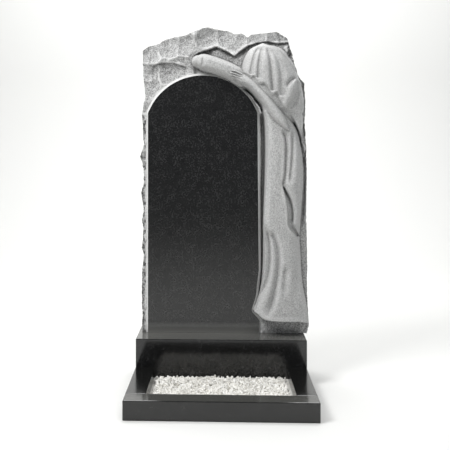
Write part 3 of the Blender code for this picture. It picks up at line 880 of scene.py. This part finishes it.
def panel_body():
    """Closed body with the polished face in front, the chamfer round it and a root behind."""
    edge = panel_edge(CHAMFER)
    begin()
    bpy.ops.mesh.primitive_circle_add(vertices=len(edge), radius=1, fill_type="NGON")
    body = bpy.context.object
    body.name = "polished_face"
    move_to(body.data, to_part(edge[:, 0], np.full(len(edge), float(CHAMFER_DROP)), edge[:, 1]))
    bpy.ops.object.mode_set(mode="EDIT")
    bpy.ops.mesh.select_all(action="SELECT")
    back = (PANEL_ROOT - CHAMFER_DROP) * MM
    bpy.ops.mesh.extrude_region_move(TRANSFORM_OT_translate={"value": (0, back, 0)})
    bpy.ops.mesh.select_all(action="SELECT")
    bpy.ops.mesh.normals_make_consistent(inside=False)
    front = FACE_Y + CHAMFER_DROP * MM
    choose_faces(body, lambda centre, normal: abs(centre.y - front) < MM and normal.y < -0.9)
    bpy.ops.mesh.inset(thickness=CHAMFER * MM, depth=CHAMFER_DROP * MM, use_even_offset=True)
    bpy.ops.object.mode_set(mode="OBJECT")
    print("polished face:", len(body.data.polygons), "faces")
    return body


panel = panel_body()

# %% [markdown]
# Granite looks different with every tool. Sawn and struck faces are pale grey, because the broken
# crystals scatter light. The carved cloth is finer and more even. Rock down the right edge is coloured
# darker, and painted shade darkens the rock under ledges and round the figure.
# Polishing closes the surface, and the same stone turns nearly black with a mirror gloss.

# %% Finishes of the granite
GRIT = 3.5 * MM           # crystals are 1 to 3 mm, drawn at about a picture's pixel so that they show
DARK_PATCH = 7 * MM            # dark and pale patches where rock is coloured darker and shade is painted
TOOL_MARK = 2.2 * MM      # dents of the bush hammer
FLECK = 6 * MM            # groups of crystals that show through the polish
CLOUD = 30 * MM           # slow change of tone over polished stone
# Settings of a Mix node. For colours its sockets are 0, 6 and 7, and its output is 2.
MIX = {"data_type": "RGBA"}
MULTIPLY = {"data_type": "RGBA", "blend_type": "MULTIPLY"}


def speckles(tree, size, detail, stops):
    """Soft lumps of the given size in metres, coloured by stops of place and hex value."""
    place = node(tree, "TexCoord", "Object")
    lumps = node(tree, "TexNoise", Vector=place, Scale=1 / size, Detail=detail)
    return node(tree, "ValToRGB", Fac=lumps, stops=stops)


# %% Carved and struck granite, with painted shade and highlight
def granite_carved():
    """Frosted and struck granite: pale crystals, painted shade in creases and under ledges,
    painted highlight on ridges, and darker rock down the right edge.
    """
    made, tree, shader = material("frosted granite", 0.85, 1.54)
    cloth = speckles(tree, GRIT, 3.0, [(0.36, "#929291"), (0.5, "#ababaa"), (0.64, "#c0c0bf")])
    struck = speckles(tree, GRIT, 3.0, [(0.38, "#7c7c7b"), (0.5, "#aeaead"), (0.62, "#cecece")])
    dark_tone = speckles(tree, DARK_PATCH, 3.0, [(0.38, "#2e2e2e"), (0.52, "#6c6c6b"), (0.66, "#a8a8a7")])
    broken = node(tree, "Attribute", "Fac", {"attribute_name": "broken"})
    worked = node(tree, "Mix", 2, MIX, _0=broken, _6=cloth, _7=struck)
    # Weight of the dark tone: darker rock, and painted shade.
    dark_rock_and_shade = node(tree, "MapRange", Value=broken, From_Min=1.0, From_Max=2.0)
    unshaded = node(tree, "Mix", 2, MIX, _0=dark_rock_and_shade, _6=worked, _7=dark_tone)
    hollow = node(tree, "Attribute", "Fac", {"attribute_name": "hollow"})
    # Painted shade in the creases, which also stands for the darker stone left deep in them.
    dark = node(tree, "MapRange", Value=hollow, From_Min=0.8, From_Max=12.0, To_Max=0.42)
    shaded = node(tree, "Mix", 2, MIX, _0=dark, _6=unshaded, _7=linear("#2e2e2d"))
    # Painted highlight on the ridges, weaker on carved cloth than on struck rock.
    ridge_highlight = node(tree, "MapRange", Value=hollow, From_Min=-0.8, From_Max=-2.6, To_Max=0.55)
    kept = node(tree, "MapRange", Value=broken, To_Min=0.3)
    ridge = node(tree, "Math", 0, {"operation": "MULTIPLY"}, _0=ridge_highlight, _1=kept)
    highlighted = node(tree, "Mix", 2, MIX, _0=ridge, _6=shaded, _7=linear("#ebebea"))
    link(tree, highlighted, shader.inputs["Base Color"])
    place = node(tree, "TexCoord", "Object")
    dents = node(tree, "TexNoise", Vector=place, Scale=1 / TOOL_MARK, Detail=3.0)
    bump = node(tree, "Bump", Height=dents, Distance=0.6 * MM, Strength=0.6)
    link(tree, bump, shader.inputs["Normal"])
    return made


# %% Polished granite
def granite_polished(name, dark, light, film, roughness, painted_reflection_height=0.0):
    """Polished black granite: near black with faint lighter crystals, and a film of dust and painted
    sheen.

    The film lies on flat tops. On upright faces it is painted reflection, up to a given height above the
    foot.
    """
    made, tree, shader = material(name, roughness, 1.58)
    crystals = speckles(tree, FLECK, 2.0, [(0.42, dark), (0.7, light)])
    clouds = speckles(tree, CLOUD, 2.0, [(0.3, "#b4b4b4"), (0.7, "#ffffff")])
    tone = node(tree, "Mix", 2, MULTIPLY, _0=1.0, _6=crystals, _7=clouds)
    facing = node(tree, "SeparateXYZ", "Z", Vector=node(tree, "NewGeometry", "Normal"))
    # Dust with painted sheen on tops that face up, which are lighter as if lit from above.
    dust = node(tree, "MapRange", Value=facing, From_Min=0.9, From_Max=1.0, To_Max=0.85)
    if painted_reflection_height:
        # Painted reflection: upright faces paler towards the foot.
        up = node(tree, "SeparateXYZ", "Z", Vector=node(tree, "TexCoord", "Object"))
        low = node(tree, "MapRange", Value=up, From_Min=FOOT + painted_reflection_height, From_Max=FOOT)
        dust = node(tree, "Math", 0, {"operation": "MAXIMUM"}, _0=dust, _1=low)
    dust_and_sheen = node(tree, "Mix", 2, MIX, _0=dust, _6=tone, _7=linear(film))
    link(tree, dust_and_sheen, shader.inputs["Base Color"])
    return made


# %% Honed and sawn granite
def granite_honed():
    """Chamfer rubbed smooth but left matt, so that it frames the polished face in pale grey."""
    made, tree, shader = material("honed granite", 0.55, 1.54)
    tone = speckles(tree, GRIT, 2.0, [(0.3, "#cfcfce"), (0.7, "#e0e0df")])
    link(tree, tone, shader.inputs["Base Color"])
    return made


def granite_sawn():
    """Back as the saw left it: mid grey with faint straight marks across."""
    made, tree, shader = material("sawn granite", 0.8, 1.54)
    plain = speckles(tree, GRIT, 2.0, [(0.3, "#8c8c8b"), (0.7, "#a9a9a8")])
    place = node(tree, "TexCoord", "Object")
    marks = node(tree, "TexWave", "Fac", {"bands_direction": "Z"}, Vector=place, Scale=60.0,
                 Distortion=1.5)
    lines = node(tree, "ValToRGB", Fac=marks, stops=[(0.0, "#dcdcdc"), (1.0, "#ffffff")])
    tone = node(tree, "Mix", 2, MULTIPLY, _0=1.0, _6=plain, _7=lines)
    link(tree, tone, shader.inputs["Base Color"])
    return made


FROSTED, POLISHED, HONED, SAWN = range(4)
# Painted reflection pales the polished face up to 40 mm above its foot.
face_granite = granite_polished("polished face granite", "#141414", "#343434", "#70706d", 0.16, 40 * MM)
finishes = [granite_carved(), face_granite, granite_honed(), granite_sawn()]
print("finishes:", [made.name for made in finishes])

# %% [markdown]
# Each face now takes its finish by its place, before the two bodies become one, because a Boolean
# keeps the finish that a face had.


# %% Join, saw the foot off and finish the stone
def faces_of(mesh, what, width):
    """One value or vector for each face of a mesh."""
    flat = np.empty(width * len(mesh.polygons))
    mesh.polygons.foreach_get(what, flat)
    return flat.reshape(-1, width)


def give(piece, index):
    """Give a piece all finishes, and each face the one with its index."""
    for made in finishes:
        piece.data.materials.append(made)
    piece.data.polygons.foreach_set("material_index", index.astype(np.int32).ravel())


def weld_panel():
    """One closed stone of the carved body and the polished face, sawn off at its foot."""
    normals = faces_of(stone.data, "normal", 3)
    centres = faces_of(stone.data, "center", 3)
    give(stone, np.where((normals[:, 1] > 0.99) & (centres[:, 1] > BACK_Y - 0.5 * MM), SAWN, FROSTED))
    facing = faces_of(panel.data, "normal", 3)[:, 1]
    places = faces_of(panel.data, "center", 3)[:, 1]
    give(panel, np.where((facing < -0.99) & (places < FACE_Y + MM), POLISHED, HONED))
    union = stone.modifiers.new("join", "BOOLEAN")
    union.operation = "UNION"
    union.solver = "EXACT"
    union.object = panel
    apply_all(stone)
    bpy.data.objects.remove(panel)
    use(stone)
    bpy.ops.object.mode_set(mode="EDIT")
    bpy.ops.mesh.select_all(action="SELECT")
    bpy.ops.mesh.bisect(plane_co=(0, 0, FOOT), plane_no=(0, 0, 1), use_fill=True, clear_inner=True)
    bpy.ops.object.mode_set(mode="OBJECT")


weld_panel()
use(stone)
bpy.ops.object.shade_smooth_by_angle(angle=math.radians(40))
finish_piece(stone, "granite_carved", "stele")
stone.data.calc_loop_triangles()
print("stone:", len(stone.data.loop_triangles), "triangles")

# %% [markdown]
# The plinth and the bars of the bed are sawn blocks, polished all over, with their arrises eased by a
# few strokes of a rubbing stone. The eased edge catches a thin line of light, which a sharp one can't.
# A pale film of dust and painted sheen lies on the tops of the plinth and the front bar. The side bars
# have no pale film, and are nearly black.

# %% Plinth and bars
ARRIS = 2.5 * MM


def polished_block(name, made):
    """Block in the place of a CAD node, with eased arrises."""
    low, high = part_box(name)
    begin()
    bpy.ops.mesh.primitive_cube_add(size=1, location=(low + high) / 2, scale=high - low)
    block = bpy.context.object
    bpy.ops.object.transform_apply(location=True, scale=True)
    bpy.ops.object.mode_set(mode="EDIT")
    bpy.ops.mesh.select_all(action="SELECT")
    bpy.ops.mesh.bevel(offset=ARRIS, segments=2)
    bpy.ops.object.mode_set(mode="OBJECT")
    bpy.ops.object.shade_flat()
    block.name = "polished_" + name
    block.data.materials.append(made)
    finish_piece(block, "granite_polished", name)


# The films are dust with painted sheen on the tops; the side bars' film is near black.
plinth_granite = granite_polished("polished plinth granite", "#151515", "#2c2c2c", "#686865", 0.10)
bar_granite = granite_polished("polished bar granite", "#131312", "#272726", "#4b4b48", 0.12)
side_bar_granite = granite_polished("polished side bar granite", "#0f0f0e", "#20201f", "#131312", 0.16)
polished_block("plinth", plinth_granite)
polished_block("bar_front", bar_granite)
for bar in ("bar_left", "bar_right"):
    polished_block(bar, side_bar_granite)

# %% [markdown]
# The chips are crushed white marble, sharp shards one to two centimetres long. Six shards are shaped
# by cutting corners off a cube, and copies are turned and laid at random in three layers over a bed of
# marble dust. They are joined into one piece, because nothing ever moves them one by one.

# %% Marble chips
CHIP_KINDS = 6
CHIP_LONG, CHIP_SHORT = 18 * MM, 8 * MM
CHIP_GAP = 9.5 * MM
CHIP_CUTS = 7
DUST_TOP = 0.74               # top of the dust, as a share of the bed's height
DUST_TONE = 0.3
LAYERS = (0.60, 0.78, 0.96)   # middles of the layers, as shares of the bed's height
SINK, RISE = -3 * MM, 3.5 * MM
VEIN = 6 * MM
chip_dice = np.random.default_rng(23)


def shard(number):
    """One angular chip: a cube with its corners cut off at random."""
    begin()
    bpy.ops.mesh.primitive_cube_add(size=1)
    chip = bpy.context.object
    bpy.ops.object.mode_set(mode="EDIT")
    for _ in range(CHIP_CUTS):
        bpy.ops.mesh.select_all(action="SELECT")
        away = chip_dice.normal(size=3)
        away /= np.linalg.norm(away)
        bpy.ops.mesh.bisect(plane_co=away * chip_dice.uniform(0.26, 0.42), plane_no=away, use_fill=True,
                            clear_outer=True)
    bpy.ops.object.mode_set(mode="OBJECT")
    chip.name = f"shard_{number}"
    print(chip.name, len(chip.data.polygons), "faces")
    return chip


shards = [shard(number) for number in range(CHIP_KINDS)]


def laid(spot, rise):
    """Where one chip lies: its size, turned and tipped at random."""
    size = np.array([CHIP_LONG, CHIP_SHORT, CHIP_SHORT * 0.75]) * chip_dice.uniform(0.7, 1.15)
    turn = Matrix.Rotation(chip_dice.uniform(0, 2 * math.pi), 4, "Z")
    tip = Matrix.Rotation(chip_dice.normal(0, 0.6), 4, "Y")
    roll = Matrix.Rotation(chip_dice.uniform(0, 2 * math.pi), 4, "X")
    return np.array(Matrix.Translation((*spot, rise)) @ turn @ tip @ roll @ Matrix.Diagonal((*size, 1)))


def chip_places(low, high):
    """Places of all chips: jittered rows in layers, clear of the bars."""
    margin = CHIP_LONG * 0.55
    start = np.array([low.x, low.y]) + margin
    across, deep = ((np.array([high.x, high.y]) - start - margin) / CHIP_GAP).astype(int)
    for layer in LAYERS:
        for i, j in np.ndindex(across, deep):
            spot = start + (np.array([i, j]) + 0.5 + chip_dice.uniform(-0.5, 0.5, 2)) * CHIP_GAP
            yield laid(spot, low.z + (high.z - low.z) * layer + chip_dice.uniform(SINK, RISE))


def chip_bed():
    """Marble dust and the chips on it, as one mesh."""
    low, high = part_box("gravel_bed")
    dust_high = Vector((high.x, high.y, high.z * DUST_TOP))
    begin()
    bpy.ops.mesh.primitive_cube_add(size=1, location=(low + dust_high) / 2, scale=dust_high - low)
    bpy.ops.object.transform_apply(location=True, scale=True)
    bed = bpy.context.object
    shapes = [(places_of(s.data), [list(face.vertices) for face in s.data.polygons]) for s in shards]
    corners = [places_of(bed.data)]
    faces = [list(face.vertices) for face in bed.data.polygons]
    count = len(bed.data.vertices)
    tones = [np.full(count, DUST_TONE)]
    for place in chip_places(low, high):
        shape, sides = shapes[chip_dice.integers(CHIP_KINDS)]
        corners.append(shape @ place[:3, :3].T + place[:3, 3])
        faces += [[count + corner for corner in side] for side in sides]
        tones.append(np.full(len(shape), chip_dice.uniform(0, 1)))
        count += len(shape)
    bed.data.clear_geometry()
    bed.data.from_pydata(np.vstack(corners), [], faces)
    bed.name = "marble_chips"
    keep(bed.data, "tone", np.concatenate(tones))
    return bed


def marble_chip():
    """Crushed white marble: matt fracture faces, each chip of a slightly other white."""
    made, tree, shader = material("crushed white marble", 0.6, 1.5)
    tone = node(tree, "Attribute", "Fac", {"attribute_name": "tone"})
    body = node(tree, "ValToRGB", Fac=tone,
                stops=[(0.0, "#e6e4df"), (0.5, "#f8f6f1"), (1.0, "#fefdfa")])
    veins = speckles(tree, VEIN, 3.0, [(0.35, "#f0f0ee"), (0.6, "#ffffff")])
    veined = node(tree, "Mix", 2, MULTIPLY, _0=1.0, _6=body, _7=veins)
    link(tree, veined, shader.inputs["Base Color"])
    return made


chips = chip_bed()
chips.data.materials.append(marble_chip())
for chip in shards:
    bpy.data.objects.remove(chip)
finish_piece(chips, "marble_chips", "gravel_bed")
